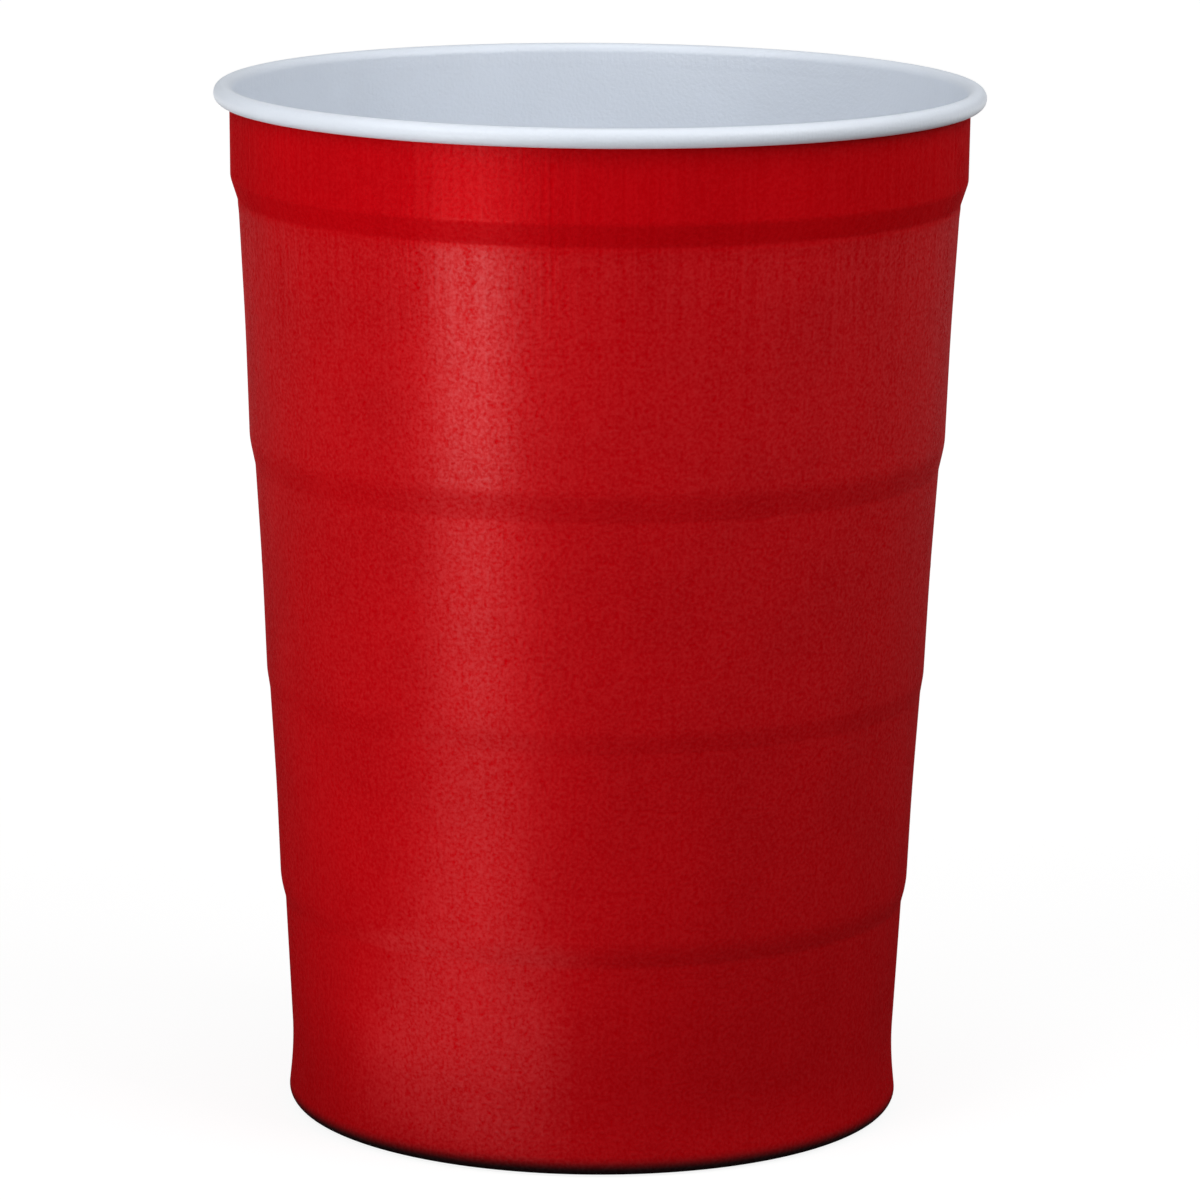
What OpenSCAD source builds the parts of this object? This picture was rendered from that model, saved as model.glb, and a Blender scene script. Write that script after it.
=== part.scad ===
// Party cup drawn from one sheet of steel: a tapered wall that steps in at four shoulders,
// a foot that flares to a small heel, a raised base panel and an outward rolled rim.
// Millimetres. +Z is up, and the origin is on the table under the middle of the base.

/* [Sheet] */
// Thickness of the sheet, the same all over the cup
sheet_t = 0.4; // [0.3:0.05:0.6]

/* [Rim] */
// Diameter over the rolled rim
rim_d = 88; // [82:0.5:94]
// Height from the table to the top of the rim
cup_h = 119; // [112:0.5:126]
// Outside diameter of the tube that the rolled edge forms
curl_d = 2.2; // [1.8:0.1:2.8]
// Angle through which the edge is rolled, in degrees
curl_turn = 290; // [240:5:290]

/* [Band under the rim] */
// Height from the top of the rim to the edge of the first shoulder
band_h = 10.6; // [7:0.2:14]
// Lean of the band off upright, in degrees
band_draft = 0.6; // [0:0.1:1.5]
// How far the first shoulder steps in
band_step = 0.85; // [0.7:0.05:1.5]
// Height of the first shoulder
band_drop = 2.6; // [2.2:0.1:4]
// Radius of the bends of the first shoulder and its neck
band_bend = 2.5; // [1:0.25:4]

/* [Neck under the first shoulder] */
// Height of the upright land at the root of the first shoulder
land_h = 0.5; // [0.3:0.1:0.8]
// Lean of the land off upright, in degrees
land_draft = 1.5; // [0.5:0.5:3]
// Height of the neck between the land and the tall wall
neck_h = 1.1; // [0.8:0.1:2]
// Lean of the neck off upright, in degrees
neck_draft = 6; // [5:0.5:8]

/* [Walls] */
// Height of the tall wall, from the neck to the second shoulder
upper_h = 26; // [20:0.2:32]
// Height of the second wall
middle_h = 24; // [19:0.5:30]
// Height of the third wall
lower_h = 22.5; // [17:0.5:28]
// Lean of the tall wall off upright, in degrees
upper_draft = 2.6; // [1.5:0.1:3.5]
// Lean of the second, third and lowest walls off upright, in degrees
lower_draft = 3.1; // [2:0.1:4]
// How much more each wall leans above its middle, and less below it, in degrees
wall_hollow = 0.6; // [0.2:0.1:1]
// Radius of the long bend at the middle of each wall
wall_bend = 400; // [200:50:600]

/* [Shoulders between the walls] */
// How far the shoulder under the tall wall steps in
upper_step = 0.65; // [0.3:0.05:0.9]
// How far the shoulder under the second wall steps in
middle_step = 0.35; // [0.2:0.05:0.7]
// How far the shoulder under the third wall steps in
lower_step = 0.56; // [0.3:0.02:0.9]
// Height of the shoulder under the tall wall
upper_drop = 3; // [2:0.1:4]
// Height of the two shoulders under it
shoulder_drop = 2.2; // [1.6:0.1:3.5]
// Radius of the soft bend at the crest of each shoulder
crest_bend = 10; // [4:0.5:11]
// Radius of the tight bend at the root of each shoulder
root_bend = 3.5; // [1:0.5:6]

/* [Foot] */
// Height of the waist, where the foot starts to flare
waist_z = 6.6; // [5:0.2:9]
// Lean of the flare off upright, in degrees
flare_draft = 5.8; // [3:0.2:8]
// Radius of the long bend at the waist
waist_bend = 40; // [15:1:42]
// Radius of the heel's bend
heel_bend = 1.6; // [1:0.1:2.4]

/* [Base] */
// Diameter of the raised panel at its underside
panel_d = 57; // [50:0.5:60]
// Height of the panel above the table
panel_lift = 1.2; // [0.6:0.1:2]
// Slope of the panel's edge, in degrees
panel_slope = 45; // [30:1:60]
// Radius of the bends at the panel's edge
panel_bend = 0.9; // [0.7:0.1:1.5]

/* [Hidden] */

// Colour of the enamel outside
enamel = [0.72, 0.05, 0.09];
// Greatest gap between a bend and the straight pieces that draw it
chord_gap = 0.004;
// Fewest straight pieces in a bend
least_pieces = 3;
// Flat sides that draw the cup's round
round_sides = 180;

// Direction of a heading, and the direction a quarter turn to its left
function along(a) = [cos(a), sin(a)];
function left(a) = [-sin(a), cos(a)];
function heading(p, q) = atan2(q.y - p.y, q.x - p.x);

// Point that lies h lower on a wall with the given draft
function down(p, h, draft) = p - [h * tan(draft), h];

// Middle of a hollow wall that starts at p and is h high
function wall_middle(p, h, draft) = down(p, h / 2, draft + wall_hollow);

// The red face of the sheet runs from the axis along the underside, up the wall and round the
// curl, with the white face always on its left.
curl_r = curl_d / 2;
curl_middle = [rim_d / 2 - curl_r, cup_h - curl_r];
band_heading = 90 - band_draft;
curl_start = curl_middle + (curl_r - sheet_t) * left(band_heading);

// Crests and roots of the shoulders and the middles of the walls, worked down from the rim
crest_1 = down(curl_start, curl_start.y - (cup_h - band_h), band_draft);
root_1 = crest_1 - [band_step, band_drop];
neck_top = down(root_1, land_h, land_draft);
neck_foot = down(neck_top, neck_h, neck_draft);
middle_2 = wall_middle(neck_foot, upper_h, upper_draft);
crest_2 = down(neck_foot, upper_h, upper_draft);
root_2 = crest_2 - [upper_step, upper_drop];
middle_3 = wall_middle(root_2, middle_h, lower_draft);
crest_3 = down(root_2, middle_h, lower_draft);
root_3 = crest_3 - [middle_step, shoulder_drop];
middle_4 = wall_middle(root_3, lower_h, lower_draft);
crest_4 = down(root_3, lower_h, lower_draft);
root_4 = crest_4 - [lower_step, shoulder_drop];

// The foot, down to where the heel's two sides would meet, and the panel's edge
waist = down(root_4, root_4.y - waist_z, lower_draft);
heel = down(waist, waist_z, -flare_draft);
panel_edge = [panel_d / 2, panel_lift];
ring_edge = panel_edge + [panel_lift / tan(panel_slope), -panel_lift];

// Each corner of the red face between the axis and the curl, with the radius of its bend
corners = [
    [panel_edge, panel_bend],
    [ring_edge, panel_bend],
    [heel, heel_bend],
    [waist, waist_bend],
    [root_4, root_bend],
    [crest_4, crest_bend],
    [middle_4, wall_bend],
    [root_3, root_bend],
    [crest_3, crest_bend],
    [middle_3, wall_bend],
    [root_2, root_bend],
    [crest_2, crest_bend],
    [middle_2, wall_bend],
    [neck_foot, band_bend],
    [neck_top, band_bend],
    [root_1, band_bend],
    [crest_1, band_bend]
];

function pieces(r, turn) =
    max(least_pieces, ceil(abs(turn) / (2 * acos(1 - chord_gap / r))));

// Points round a bend that starts at p with heading a and turns left by turn degrees, or right
// where turn is negative. r is the radius on the red face, and depth is how far the points lie
// under that face.
function bend(p, a, turn, r, depth) =
    let (
        side = sign(turn),
        middle = p + side * r * left(a),
        n = pieces(r, turn)
    )
    [for (i = [0 : n]) middle - (side * r - depth) * left(a + turn * i / n)];

// A bend that rounds corner q between p and next. It reaches at most half way along each side,
// so a short shoulder limits its bends.
function rounded(p, q, next, r, depth) =
    let (
        a = heading(p, q),
        turn = heading(q, next) - a,
        half = tan(abs(turn) / 2),
        back = min(r * half, norm(q - p) / 2, norm(next - q) / 2)
    )
    bend(q - back * along(a), a, turn, back / half, depth);

// One face of the sheet as a line of points, from the axis to the rolled edge
function face(depth) =
    let (
        stops = concat([[0, panel_lift]], [for (c = corners) c[0]], [curl_start]),
        last = len(corners)
    )
    concat(
        [[0, panel_lift + depth]],
        [for (i = [1 : last])
            each rounded(stops[i - 1], stops[i], stops[i + 1], corners[i - 1][1], depth)],
        bend(curl_start, band_heading, -curl_turn, curl_r - sheet_t, depth)
    );

function reversed(points) = [for (i = [len(points) - 1 : -1 : 0]) points[i]];

// Half section through the sheet
module sheet_section() {
    polygon(concat(face(0), reversed(face(sheet_t))));
}

module cup() {
    color(enamel) rotate_extrude($fn = round_sides) sheet_section();
}

cup();
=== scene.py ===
from math import acos, atan2, ceil, cos, pi, radians, sin, tan

import bmesh
import bpy
from bpy.props import FloatProperty, FloatVectorProperty, IntProperty, PointerProperty
from mathutils import Matrix, Vector


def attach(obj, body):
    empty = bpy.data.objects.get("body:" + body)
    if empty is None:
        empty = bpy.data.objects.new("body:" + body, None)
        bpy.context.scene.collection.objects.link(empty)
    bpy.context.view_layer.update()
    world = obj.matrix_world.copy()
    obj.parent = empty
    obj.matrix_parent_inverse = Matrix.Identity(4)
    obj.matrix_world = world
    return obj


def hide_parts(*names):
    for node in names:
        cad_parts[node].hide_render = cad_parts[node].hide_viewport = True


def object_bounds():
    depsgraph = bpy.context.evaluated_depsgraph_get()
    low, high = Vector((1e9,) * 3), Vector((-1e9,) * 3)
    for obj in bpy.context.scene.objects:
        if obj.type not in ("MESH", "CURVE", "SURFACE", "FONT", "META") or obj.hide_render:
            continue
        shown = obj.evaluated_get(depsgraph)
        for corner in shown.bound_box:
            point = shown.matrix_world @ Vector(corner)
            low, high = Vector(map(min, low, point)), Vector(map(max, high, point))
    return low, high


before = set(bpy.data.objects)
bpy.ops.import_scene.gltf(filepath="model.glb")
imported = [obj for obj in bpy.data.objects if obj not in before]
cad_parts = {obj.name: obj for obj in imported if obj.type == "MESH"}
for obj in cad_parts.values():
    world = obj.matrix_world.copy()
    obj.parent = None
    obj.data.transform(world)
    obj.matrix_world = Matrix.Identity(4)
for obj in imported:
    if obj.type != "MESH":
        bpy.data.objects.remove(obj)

bl_info = {
    "name": "Stepped Steel Cup",
    "version": (1, 0, 0),
    "blender": (4, 5, 0),
    "location": "3D View > Sidebar > Steel Cup",
    "description": "Draws a stepped cup from one sheet of steel, enamels it and lights it on a table",
    "category": "Add Mesh",
}

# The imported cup's lowest and highest corners
CAD_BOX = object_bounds()
MM = 0.001

# How many noise cells a radian of the wall's round and a metre of its height hold in the lines
LINES_ROUND = 75
LINES_UP = 25
# Heights between which the lines grow to their full strength, outside and inside
RED_LINES = (88 * MM, 104 * MM)
PALE_LINES = (116 * MM, 117 * MM)
# Noise cells in a metre of orange peel, and of the faint clouds in both enamels
PEEL_SCALE = 2500
CLOUD_SCALE = 90
# How far clouds and grain change the red, how far clouds change the pale, and how far the grain
# changes the roughness of both
RED_SPREAD = 0.07
PALE_SPREAD = 0.015
ROUGH_SPREAD = 0.06
# Heights between which the clear coat gets thinner towards the band, and how much of it goes
COAT_FADE = (104.5 * MM, 106.5 * MM)
COAT_LOSS = 0.7
# A tiny worn spot near the top of the tall wall, with its colour, and its radii inside and out
SCUFF_PLACE = Vector((-15.2, -37.6, 94.7)) * MM
SCUFF_RED = (0.55, 0.02, 0.025)
SCUFF_EDGE = (0.1 * MM, 0.4 * MM)
# Height up to which the heel is painted near-black, a painted contact shadow where the cup meets the table
HEEL_SHADE_FULL = 0.6 * MM

# Half the table's width, and how far from the cup its glow starts and ends to rise, in metres
TABLE_HALF = 20
# Nearer the cup than these distances the table's glow is dimmed, a painted shadow round the cup
PAINTED_SHADOW_REACH = (0.05, 0.6)

# The point that every lamp faces
LAMP_AIM = Vector((0, 0, 0.075))


def size(name, about, mm):
    return FloatProperty(name=name, description=about, default=mm * MM, min=0, unit="LENGTH",
                         subtype="DISTANCE")


def lean(name, about, deg):
    return FloatProperty(name=name, description=about, default=radians(deg), unit="ROTATION",
                         subtype="ANGLE")


def tint(name, about, rgb):
    return FloatVectorProperty(name=name, description=about, default=rgb, min=0, max=1, size=3,
                               subtype="COLOR")


def share(name, about, value, top=1.0):
    return FloatProperty(name=name, description=about, default=value, min=0, max=top,
                         subtype="FACTOR" if top == 1 else "NONE")


def power(name, about, watts):
    return FloatProperty(name=name, description=about, default=watts, min=0, unit="POWER")


class SheetSizes(bpy.types.PropertyGroup):
    """Sizes of the one steel sheet, from the rolled rim down to the base"""
    sheet_t: size("Sheet", "Thickness of the sheet", 0.4)
    rim_d: size("Rim", "Diameter over the rolled rim", (CAD_BOX[1].y - CAD_BOX[0].y) / MM)
    cup_h: size("Height", "From the table to the top of the rim", CAD_BOX[1].z / MM)
    curl_d: size("Curl", "Outside diameter of the tube that the rolled edge forms", 2.2)
    curl_turn: lean("Curl turn", "Angle through which the edge is rolled", 290)
    band_h: size("Band", "From the top of the rim to the first shoulder", 10.6)
    band_draft: lean("Band lean", "Lean of the band off upright", 0.6)
    band_step: size("Band step", "How far the first shoulder steps in", 0.85)
    band_drop: size("Band drop", "Height of the first shoulder", 2.6)
    band_bend: size("Band bend", "Radius of the bends of the first shoulder and its neck", 2.5)
    land_h: size("Land", "Height of the upright land at the root of the first shoulder", 0.5)
    land_draft: lean("Land's lean", "Lean of the land off upright", 1.5)
    neck_h: size("Neck", "Height of the neck between the land and the tall wall", 1.1)
    neck_draft: lean("Neck's lean", "Lean of the neck off upright", 6)
    upper_h: size("Tall wall", "Height of the wall from the neck to the second shoulder", 26)
    middle_h: size("Second wall", "Height of the second wall", 24)
    lower_h: size("Third wall", "Height of the third wall", 22.5)
    upper_draft: lean("Tall wall's lean", "Lean of the tall wall off upright", 2.6)
    lower_draft: lean("Lower walls' lean", "Lean of the other walls off upright", 3.1)
    wall_hollow: lean("Hollow", "How much more each wall leans above its middle, and less below", 0.6)
    wall_bend: size("Wall bend", "Radius of the long bend at the middle of each wall", 400)
    upper_step: size("Upper step", "How far the shoulder under the tall wall steps in", 0.65)
    middle_step: size("Middle step", "How far the shoulder under the second wall steps in", 0.35)
    lower_step: size("Lower step", "How far the shoulder under the third wall steps in", 0.56)
    upper_drop: size("Upper drop", "Height of the shoulder under the tall wall", 3)
    shoulder_drop: size("Shoulder", "Height of the two shoulders under it", 2.2)
    crest_bend: size("Crest bend", "Radius of the soft bend at each shoulder's crest", 10)
    root_bend: size("Root bend", "Radius of the tight bend at each shoulder's root", 3.5)
    waist_z: size("Waist", "Height at which the foot starts to flare", 6.6)
    flare_draft: lean("Flare", "Lean of the flare off upright", 5.8)
    waist_bend: size("Waist bend", "Radius of the long bend at the waist", 40)
    heel_bend: size("Heel bend", "Radius of the heel's bend", 1.6)
    panel_d: size("Base panel", "Diameter of the raised panel at its underside", 57)
    panel_lift: size("Panel lift", "Height of the panel above the table", 1.2)
    panel_slope: lean("Panel slope", "Slope of the panel's edge", 45)
    panel_bend: size("Panel bend", "Radius of the bends at the panel's edge", 0.9)
    ridge_z: size("Ridge height", "Height of the fine ridge round the second wall", 63.9)
    ridge_w: size("Ridge width", "Width of the fine ridge", 0.9)
    ridge_out: size("Ridge rise", "How far the fine ridge stands out from the wall", 0.015)
    round_steps: IntProperty(name="Round", description="Steps in one full turn of the cup",
                             default=180, min=48, max=240)


class EnamelFinish(bpy.types.PropertyGroup):
    """Colours and gloss of the enamel on both faces of the sheet, and the painted shade at the heel"""
    red: tint("Red enamel", "Outside of the cup", (0.48, 0.0003, 0.003))
    pale: tint("Pale enamel", "Lining and rolled rim", (0.71, 0.76, 0.835))
    red_rough: share("Red gloss", "Roughness of the red enamel", 0.42)
    pale_rough: share("Pale gloss", "Roughness of the pale enamel", 0.4)
    flake: share("Flake", "How metallic the red enamel is", 0.17)
    clear: share("Clear coat", "Weight of the clear coat over the red enamel", 0.065)
    clear_rough: share("Clear coat gloss", "Roughness of the clear coat", 0.33)
    clear_ior: FloatProperty(name="Clear coat IOR", description="Refractive index of the clear coat",
                             default=2.2, min=1)
    # The heel's colour is painted shade, the contact shadow where the cup meets the table, and it fades
    # into the red over the height below
    heel: tint("Heel", "Dark edge that the cup stands on", (0.02, 0.005, 0.006))
    heel_shade_top: size("Heel's edge", "Height over which the dark edge fades into the red", 2.5)
    draw_lines: share("Draw lines", "Height of the fine lines that drawing left up the wall, "
                      "in hundredths of a millimetre", 4, 20)
    peel: share("Peel", "Height of the enamel's orange peel, in hundredths of a millimetre", 4, 20)


class TableLight(bpy.types.PropertyGroup):
    """Camera, lamps and table round the cup"""
    lens: FloatProperty(name="Lens", description="Focal length in millimetres on a 36 mm sensor",
                        default=192.18, min=20)
    eye_y: FloatProperty(name="Eye back", description="Camera's place along Y", default=-0.72695,
                         unit="LENGTH")
    eye_z: FloatProperty(name="Eye height", description="Camera's height over the table",
                         default=0.20139, unit="LENGTH")
    pitch: lean("Pitch", "How far the camera looks down", 11.0787)
    yaw: lean("Yaw", "How far the camera is turned to the right", 0.0371)
    roll: lean("Roll", "How far the camera is turned about its own line of sight", 0.4864)
    table: tint("Table", "Colour of the table under the lamps", (0.2, 0.2, 0.2))
    glow: share("Glow", "How much of the table's white shows without any lamp, far from the cup", 0.95)
    # Beside the cup the glow is dimmed as a painted shadow, and in gloss almost to nothing, a painted
    # shade that the cup's foot mirrors
    painted_shadow_glow: share("Near glow", "The same beside the cup, where its shadow falls", 0.86)
    painted_shadow_gloss_glow: share("Glow in gloss", "The same beside the cup, as gloss shows it", 0.05)
    room: share("Room", "Strength of the light from all round", 0.24, 2)
    far_pool: power("Far pool", "Power of the pool of light on the table that the tall wall mirrors", 1.25)
    near_pool: power("Near pool", "Power of the pool of light that the lower walls mirror", 0.055)
    left: power("Left lamp", "Power of the lamp at the front left", 1.1)
    far_left: power("Far left lamp", "Power of the lamp at the far left", 0.25)
    high_left: power("High left lamp", "Power of the lamp high on the left", 0.95)
    near_left: power("Near left lamp", "Power of the lamp over the left of the cup", 0.5)
    near_right: power("Near right lamp", "Power of the lamp over the right of the cup", 0.95)
    top: power("Top lamp", "Power of the lamp high over the cup", 1.2)


def along(angle):
    return Vector((cos(angle), 0, sin(angle)))


def left(angle):
    return Vector((-sin(angle), 0, cos(angle)))


def heading(p, q):
    return atan2(q.z - p.z, q.x - p.x)


def down(p, drop, draft):
    return p - Vector((drop * tan(draft), 0, drop))


def rounded(p, q, r, bend_r):
    """Start, middle and turn of the bend that rounds corner q between p and r"""
    a = heading(p, q)
    turn = heading(q, r) - a
    half = tan(abs(turn) / 2)
    back = min(bend_r * half, (q - p).length / 2, (r - q).length / 2)
    start = q - back * along(a)
    return start, start + (1 if turn > 0 else -1) * back / half * left(a), a, turn


def sheet_bends(s):
    """Every bend of the red face, from the base panel's edge up to the rolled rim"""
    curl_r = s.curl_d / 2
    curl_middle = Vector((s.rim_d / 2 - curl_r, 0, s.cup_h - curl_r))
    rise = pi / 2 - s.band_draft
    curl_start = curl_middle + (curl_r - s.sheet_t) * left(rise)

    crest = down(curl_start, curl_start.z - (s.cup_h - s.band_h), s.band_draft)
    root = crest - Vector((s.band_step, 0, s.band_drop))
    neck_top = down(root, s.land_h, s.land_draft)
    root_or_neck = down(neck_top, s.neck_h, s.neck_draft)
    corners = [(p, s.band_bend) for p in (crest, root, neck_top, root_or_neck)]
    for height, draft, step, drop in ((s.upper_h, s.upper_draft, s.upper_step, s.upper_drop),
                                      (s.middle_h, s.lower_draft, s.middle_step, s.shoulder_drop),
                                      (s.lower_h, s.lower_draft, s.lower_step, s.shoulder_drop)):
        corners.append((down(root_or_neck, height / 2, draft + s.wall_hollow), s.wall_bend))
        crest = down(root_or_neck, height, draft)
        root_or_neck = crest - Vector((step, 0, drop))
        corners += [(crest, s.crest_bend), (root_or_neck, s.root_bend)]
    waist = down(root_or_neck, root_or_neck.z - s.waist_z, s.lower_draft)
    corners.append((waist, s.waist_bend))
    corners.append((down(waist, s.waist_z, -s.flare_draft), s.heel_bend))
    panel_x = s.panel_d / 2
    corners.append((Vector((panel_x + s.panel_lift / tan(s.panel_slope), 0, 0)), s.panel_bend))
    corners.append((Vector((panel_x, 0, s.panel_lift)), s.panel_bend))
    corners.reverse()

    stops = [Vector((0, 0, s.panel_lift))] + [c[0] for c in corners] + [curl_start]
    bends = [rounded(*stops[i:i + 3], corners[i][1]) for i in range(len(corners))]
    return bends + [(curl_start, curl_middle, rise, -s.curl_turn)]


class Pen:
    """Draws half of the cup's section as a line of edges in the XZ plane"""
    STRAIGHT = 4 * MM
    CHORD_GAP = 0.0015 * MM
    LEAST = 4

    def __init__(self, bm, start):
        self.bm = bm
        self.tip = bmesh.ops.create_vert(bm, co=start)["vert"][0]
        self.drawn = [self.tip]

    def move(self, **how):
        done = set(self.bm.verts) | set(self.bm.edges)
        last = bmesh.ops.spin(self.bm, geom=[self.tip], axis=(0, -1, 0), **how)["geom_last"]
        self.tip = next(g for g in last if isinstance(g, bmesh.types.BMVert))
        self.drawn += [g for g in (*self.bm.verts, *self.bm.edges) if g not in done]

    def line(self, end):
        way = end - self.tip.co
        steps = max(1, ceil(way.length / self.STRAIGHT))
        self.move(cent=(0, 0, 0), dvec=way / steps, angle=0, steps=steps)

    def bend(self, middle, turn):
        r = (self.tip.co - middle).length
        steps = max(self.LEAST, ceil(abs(turn) / (2 * acos(1 - self.CHORD_GAP / r))))
        self.move(cent=middle, dvec=(0, 0, 0), angle=turn, steps=steps)


def spin_skin(bm, drawn, steps, slot):
    """Turns a drawn line once round the cup's axis and gives the new faces a material slot"""
    done = set(bm.faces)
    bmesh.ops.spin(bm, geom=drawn, cent=(0, 0, 0), axis=(0, 0, 1), dvec=(0, 0, 0), angle=2 * pi,
                   steps=steps, use_merge=True)
    for face in bm.faces:
        if face not in done:
            face.material_index = slot
            face.smooth = True


def raise_ridge(bm, s):
    """Raises the fine ridge that a drawing die left round the red face"""
    for side in (-1, 1, 0):
        cut = bmesh.ops.bisect_plane(bm, geom=[*bm.verts, *bm.edges, *bm.faces],
                                     plane_co=(0, 0, s.ridge_z + side * s.ridge_w / 2),
                                     plane_no=(0, 0, 1), dist=0.001 * MM)["geom_cut"]
    crest = [v for v in cut if isinstance(v, bmesh.types.BMVert)]
    growth = 1 + s.ridge_out / crest[0].co.xy.length
    bmesh.ops.scale(bm, verts=crest, vec=(growth, growth, 1))


class CUP_OT_draw_sheet(bpy.types.Operator):
    """Draw the cup from one sheet of steel, with red enamel outside and pale enamel inside"""
    bl_idname = "steel_cup.draw_sheet"
    bl_label = "Drawn and Enamelled Cup"
    bl_options = {"REGISTER", "UNDO"}

    def execute(self, context):
        s = context.scene.steel_cup_sheet
        bends = sheet_bends(s)
        bm = bmesh.new()
        red = Pen(bm, Vector((0, 0, s.panel_lift)))
        for start, middle, a, turn in bends:
            red.line(start)
            red.bend(middle, turn)
        cut_edge = red.tip.co.copy()
        spin_skin(bm, red.drawn, s.round_steps, 0)
        raise_ridge(bm, s)

        pale = Pen(bm, cut_edge)
        for start, middle, a, turn in reversed(bends):
            end = middle + Matrix.Rotation(turn, 3, (0, -1, 0)) @ (start - middle)
            pale.line(end + s.sheet_t * left(a + turn))
            pale.bend(middle, -turn)
        pale.line(Vector((0, 0, s.panel_lift + s.sheet_t)))

        spin_skin(bm, pale.drawn, s.round_steps, 1)
        bmesh.ops.remove_doubles(bm, verts=bm.verts, dist=0.001 * MM)
        bmesh.ops.recalc_face_normals(bm, faces=bm.faces)
        if not all(edge.is_manifold for edge in bm.edges):
            raise RuntimeError("the sheet isn't closed at these sizes")

        mesh = bpy.data.meshes.new("cup_enamelled")
        bm.to_mesh(mesh)
        bm.free()
        cup = bpy.data.objects.new("cup_enamelled", mesh)
        context.collection.objects.link(cup)
        mesh.materials.append(red_enamel(context.scene.steel_cup_enamel))
        mesh.materials.append(pale_enamel(context.scene.steel_cup_enamel))
        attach(cup, "root")
        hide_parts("cup")
        return {"FINISHED"}


class Value:
    """A socket that takes part in sums. Each sum adds one Math node."""

    def __init__(self, nodes, socket):
        self.nodes = nodes
        self.socket = socket

    def math(self, operation, *values, clamp=False):
        return self.nodes.add("ShaderNodeMath", {"operation": operation, "use_clamp": clamp},
                              dict(enumerate(values)))

    def __add__(self, other):
        return self.math("ADD", self, other)

    def __sub__(self, other):
        return self.math("SUBTRACT", self, other)

    def __mul__(self, other):
        return self.math("MULTIPLY", self, other)

    def __rsub__(self, other):
        return self.math("SUBTRACT", other, self)

    __radd__ = __add__
    __rmul__ = __mul__

    def between(self, low, high):
        """0 under low and 1 over high, smooth between them"""
        return self.nodes.add("ShaderNodeMapRange", {"interpolation_type": "SMOOTHSTEP"},
                              {"Value": self, "From Min": low, "From Max": high})


class Nodes:
    """The nodes of a material or a world, from an empty tree"""

    def __init__(self, owner):
        self.owner = owner
        owner.use_nodes = True
        self.tree = owner.node_tree
        self.tree.nodes.clear()

    def add(self, kind, settings, inputs, output=0):
        """Adds a node with its settings and the values or links of its inputs"""
        node = self.tree.nodes.new(kind)
        for name, value in settings.items():
            setattr(node, name, value)
        for name, value in inputs.items():
            if isinstance(value, Value):
                self.tree.links.new(value.socket, node.inputs[name])
            else:
                node.inputs[name].default_value = value
        return Value(self, node.outputs[output])

    def mix(self, factor, low, high):
        """Colour between low and high"""
        colour = [c if isinstance(c, Value) else (*c, 1) for c in (low, high)]
        return self.add("ShaderNodeMix", {"data_type": "RGBA"}, {0: factor, 6: colour[0],
                                                                7: colour[1]}, 2)

    def vector(self, operation, a, b=(0, 0, 0)):
        return self.add("ShaderNodeVectorMath", {"operation": operation}, {0: a, 1: b})

    def noise(self, where, scale, detail):
        return self.add("ShaderNodeTexNoise", {"noise_dimensions": "3D"},
                        {"Vector": where, "Scale": scale, "Detail": detail, "Roughness": 0.5})

    def rays(self):
        """1 for what the camera sees straight, and 1 for what it sees in gloss or through glass"""
        straight, gloss, glass = (self.add("ShaderNodeLightPath", {}, {}, f"Is {kind} Ray")
                                  for kind in ("Camera", "Glossy", "Transmission"))
        return straight, gloss.math("ADD", gloss, glass, clamp=True)

    def finish(self, shader):
        """Sends the shader to the output and returns the owner"""
        kind = "World" if isinstance(self.owner, bpy.types.World) else "Material"
        out = self.tree.nodes.new(f"ShaderNodeOutput{kind}")
        self.tree.links.new(shader.socket, out.inputs["Surface"])
        return self.owner


def sheet_place(n):
    """Object coordinates, and the same with the radius divided out so that a pattern runs
    up the wall at an even pitch"""
    place = n.add("ShaderNodeTexCoord", {}, {}, "Object")
    flat = n.vector("MULTIPLY", place, (1, 1, 0))
    return place, n.vector("NORMALIZE", flat)


def drawn_surface(n, f, lines_reach):
    """Object coordinates, height, grain and bump. Fine upright lines and orange peel make both
    the grain and the bump, and lines_reach says how strong the lines are at a height."""
    place, ring = sheet_place(n)
    height = n.add("ShaderNodeSeparateXYZ", {}, {"Vector": place}, "Z")
    around = n.vector("MULTIPLY", ring, (LINES_ROUND, LINES_ROUND, 0))
    lines = n.noise(n.vector("ADD", around, n.vector("MULTIPLY", place, (0, 0, LINES_UP))), 1, 1)
    peel = n.noise(place, PEEL_SCALE, 1)
    reach = lines_reach(height)
    grain = peel + (lines - 0.5) * 0.5 * reach
    relief = lines * f.draw_lines * reach + peel * f.peel
    bump = n.add("ShaderNodeBump", {}, {"Height": relief, "Strength": 1, "Distance": 0.01 * MM})
    return place, height, grain, bump


def clouds(n, place):
    return n.noise(place, CLOUD_SCALE, 3).between(0.3, 0.7)


def shaded(n, colour, spread, shade):
    """The colour, darker where shade is 0 and lighter where it is 1"""
    return n.mix(shade, [c * (1 - spread) for c in colour],
                 [min(1, c * (1 + spread)) for c in colour])


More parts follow.
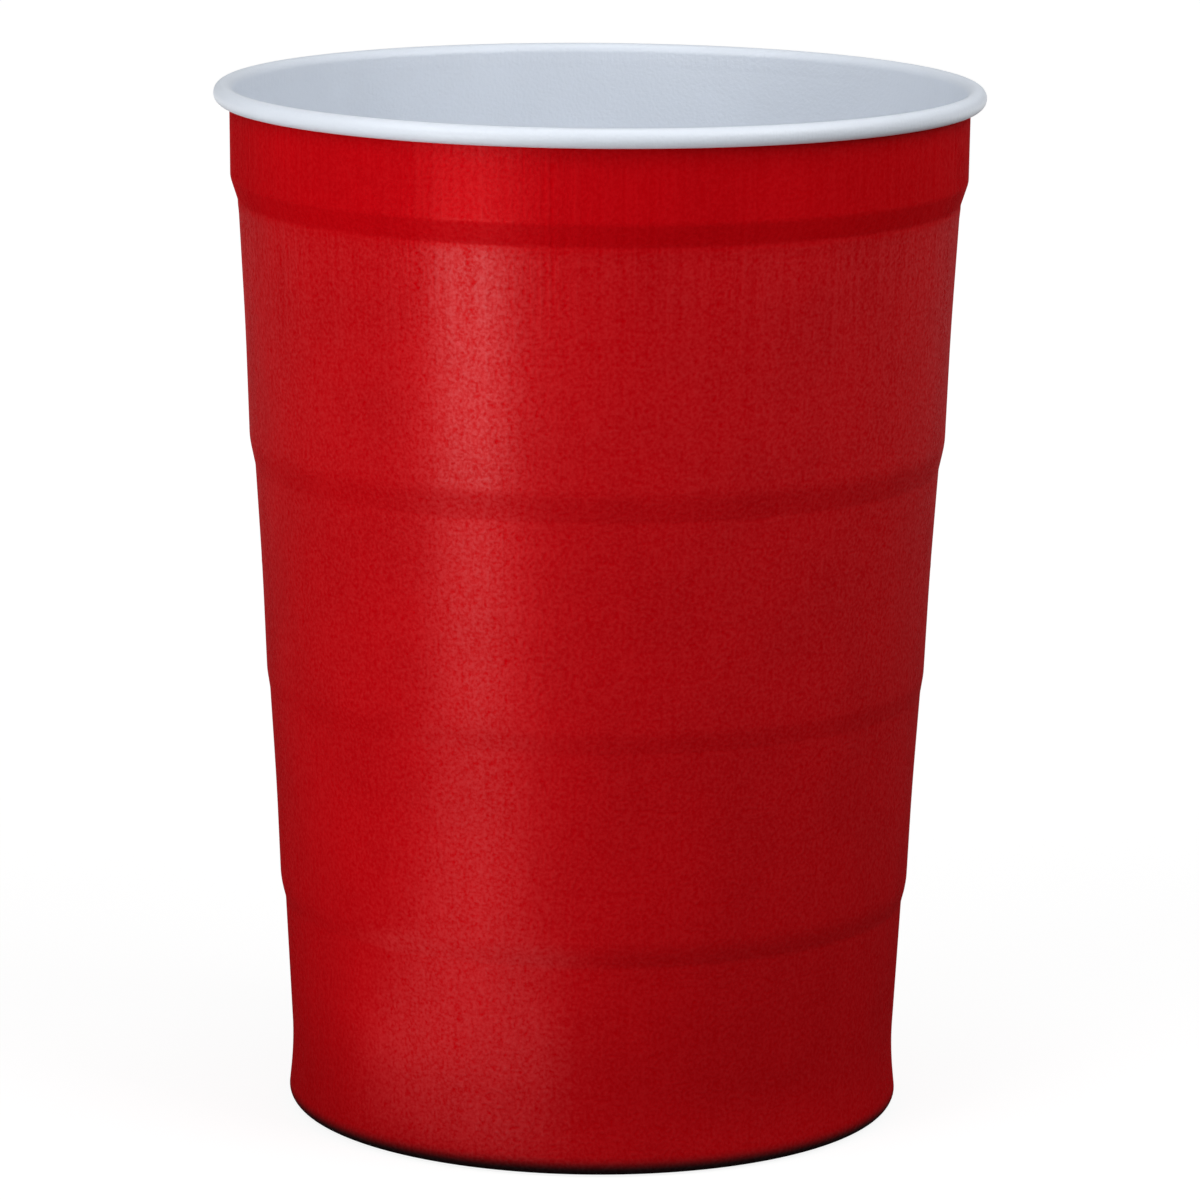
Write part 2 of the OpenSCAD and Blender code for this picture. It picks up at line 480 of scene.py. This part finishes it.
def red_enamel(f):
    n = Nodes(bpy.data.materials.new("red_enamel"))
    place, height, grain, bump = drawn_surface(n, f, lambda z: 0.3 + 0.7 * z.between(*RED_LINES))
    scuff = n.add("ShaderNodeVectorMath", {"operation": "DISTANCE"}, {0: place, 1: SCUFF_PLACE}, 1)
    shade = 0.5 * clouds(n, place) + 0.5 * grain.between(0.35, 0.65)
    worn = n.mix(1 - scuff.between(*SCUFF_EDGE), shaded(n, f.red, RED_SPREAD, shade), SCUFF_RED)
    # Painted shade: the bottom of the heel is near-black like a contact shadow on the table, fading up
    # into the red
    colour = n.mix(height.between(HEEL_SHADE_FULL, f.heel_shade_top), f.heel, worn)
    coat_left = 1 - COAT_LOSS * height.between(*COAT_FADE)
    return n.finish(n.add("ShaderNodeBsdfPrincipled", {}, {
        "Base Color": colour, "Metallic": f.flake,
        "Roughness": f.red_rough + (grain - 0.5) * ROUGH_SPREAD,
        "Specular IOR Level": 0, "Specular Tint": (0, 0, 0, 1),
        "Coat Weight": f.clear * (3 * grain - 0.5) * coat_left,
        "Coat Roughness": f.clear_rough, "Coat IOR": f.clear_ior, "Normal": bump}))


def pale_enamel(f):
    n = Nodes(bpy.data.materials.new("pale_enamel"))
    place, _, grain, bump = drawn_surface(n, f, lambda z: z.between(*PALE_LINES))
    return n.finish(n.add("ShaderNodeBsdfPrincipled", {}, {
        "Base Color": shaded(n, f.pale, PALE_SPREAD, clouds(n, place)),
        "Roughness": f.pale_rough + (grain - 0.5) * ROUGH_SPREAD, "Normal": bump}))


def lamp(name, place, turn, width, length, power):
    """Soft lamp that lights the cup and isn't seen itself"""
    data = bpy.data.lights.new(name, "AREA")
    data.shape = "RECTANGLE"
    data.size = width
    data.size_y = length
    data.energy = power
    item = bpy.data.objects.new(name, data)
    bpy.context.collection.objects.link(item)
    item.location = place
    item.rotation_euler = turn.to_euler()
    item.visible_camera = False


def hang_lamp(name, bearing, rise, away, width, power):
    """Hangs a lamp round the cup. The bearing turns from the camera's side to the right and the
    rise turns up, both in degrees, and away and width are in metres."""
    turned = Matrix.Rotation(radians(bearing), 3, "Z") @ Matrix.Rotation(-radians(rise), 3, "X")
    lamp(name, LAMP_AIM + turned @ Vector((0, -away, 0)),
         turned @ Matrix.Rotation(pi / 2, 3, "X"), width, width, power)


def lay_pool(name, bearing, away, width, length, power):
    """Lays a pool of light on the table, face up, its length on a line to the cup. The bearing
    is as above, and away, width and length are in metres."""
    turned = Matrix.Rotation(radians(bearing), 3, "Z")
    lamp(name, turned @ Vector((0, -away, MM)), turned @ Matrix.Rotation(pi, 3, "Y"), width, length,
         power)


class CUP_OT_set_table(bpy.types.Operator):
    """Set the camera, the pale table and the soft lamps"""
    bl_idname = "steel_cup.set_table"
    bl_label = "Table and Light"
    bl_options = {"REGISTER", "UNDO"}

    def execute(self, context):
        t = context.scene.steel_cup_table
        data = bpy.data.cameras.new("camera")
        data.sensor_width = 36
        data.lens = t.lens
        camera = bpy.data.objects.new("camera", data)
        context.collection.objects.link(camera)
        camera.matrix_world = (Matrix.Translation((0, t.eye_y, t.eye_z))
                               @ Matrix.Rotation(-t.yaw, 4, "Z")
                               @ Matrix.Rotation(pi / 2 - t.pitch, 4, "X")
                               @ Matrix.Rotation(t.roll, 4, "Z"))
        context.scene.camera = camera

        bm = bmesh.new()
        bmesh.ops.create_grid(bm, x_segments=1, y_segments=1, size=TABLE_HALF)
        mesh = bpy.data.meshes.new("table")
        bm.to_mesh(mesh)
        bm.free()
        table = bpy.data.objects.new("table", mesh)
        context.collection.objects.link(table)
        mesh.materials.append(table_top(t))

        lay_pool("far_pool", -39, 0.41, 0.14, 0.12, t.far_pool)
        lay_pool("near_pool", -39, 0.14, 0.07, 0.18, t.near_pool)
        hang_lamp("left_lamp", -30, 12, 0.9, 0.36, t.left)
        hang_lamp("far_left_lamp", -85, 14, 0.9, 0.36, t.far_left)
        hang_lamp("high_left_lamp", -50, 45, 0.9, 0.36, t.high_left)
        hang_lamp("near_left_lamp", -50, 40, 0.42, 0.3, t.near_left)
        hang_lamp("near_right_lamp", 60, 40, 0.42, 0.3, t.near_right)
        hang_lamp("top_lamp", 0, 90, 0.92, 0.36, t.top)

        world = bpy.data.worlds.new("room")
        context.scene.world = world
        n = Nodes(world)
        n.finish(n.add("ShaderNodeBackground", {}, {"Color": (1, 1, 1, 1), "Strength": t.room}))

        context.scene.view_settings.view_transform = "Standard"
        return {"FINISHED"}


def table_top(t):
    """Table that shows white to the camera, and in gloss away from the cup, and keeps its shadow.
    Near the cup its glow is dimmed as a painted shadow, and in gloss nearly put out as painted shade.
    """
    n = Nodes(bpy.data.materials.new("pale_table"))
    place = n.add("ShaderNodeTexCoord", {}, {}, "Object")
    away = n.add("ShaderNodeVectorMath", {"operation": "LENGTH"}, {0: place}, 1)
    clear_of_painted_shadow = away.between(*PAINTED_SHADOW_REACH)
    straight, mirrored = n.rays()
    # The glow fades towards the cup, a painted shadow to the camera and painted shade in gloss
    strength = (straight * (t.painted_shadow_glow + clear_of_painted_shadow * (t.glow - t.painted_shadow_glow))
                + mirrored * (t.painted_shadow_gloss_glow + clear_of_painted_shadow * (t.glow - t.painted_shadow_gloss_glow)))
    matte = n.add("ShaderNodeBsdfDiffuse", {}, {"Color": (*t.table, 1)})
    glow = n.add("ShaderNodeEmission", {}, {"Color": n.mix(strength, (0, 0, 0), (1, 1, 1)),
                                            "Strength": 1})
    return n.finish(n.add("ShaderNodeAddShader", {}, {0: matte, 1: glow}))


class CUP_PT_panel(bpy.types.Panel):
    """Lists the cup's sizes, finishes and lamps"""
    bl_idname = "CUP_PT_panel"
    bl_label = "Steel Cup"
    bl_space_type = "VIEW_3D"
    bl_region_type = "UI"
    bl_category = "Steel Cup"

    def draw(self, context):
        for group, operator in ((context.scene.steel_cup_sheet, CUP_OT_draw_sheet),
                                (context.scene.steel_cup_enamel, None),
                                (context.scene.steel_cup_table, CUP_OT_set_table)):
            column = self.layout.column(align=True)
            for name in group.bl_rna.properties.keys():
                if name not in ("rna_type", "name"):
                    column.prop(group, name)
            if operator:
                column.operator(operator.bl_idname)


CLASSES = (SheetSizes, EnamelFinish, TableLight, CUP_OT_draw_sheet, CUP_OT_set_table, CUP_PT_panel)


def register():
    for item in CLASSES:
        bpy.utils.register_class(item)
    bpy.types.Scene.steel_cup_sheet = PointerProperty(type=SheetSizes)
    bpy.types.Scene.steel_cup_enamel = PointerProperty(type=EnamelFinish)
    bpy.types.Scene.steel_cup_table = PointerProperty(type=TableLight)


def unregister():
    del bpy.types.Scene.steel_cup_table
    del bpy.types.Scene.steel_cup_enamel
    del bpy.types.Scene.steel_cup_sheet
    for item in reversed(CLASSES):
        bpy.utils.unregister_class(item)


def main():
    register()
    bpy.ops.steel_cup.set_table()
    bpy.ops.steel_cup.draw_sheet()


if __name__ == "__main__":
    main()
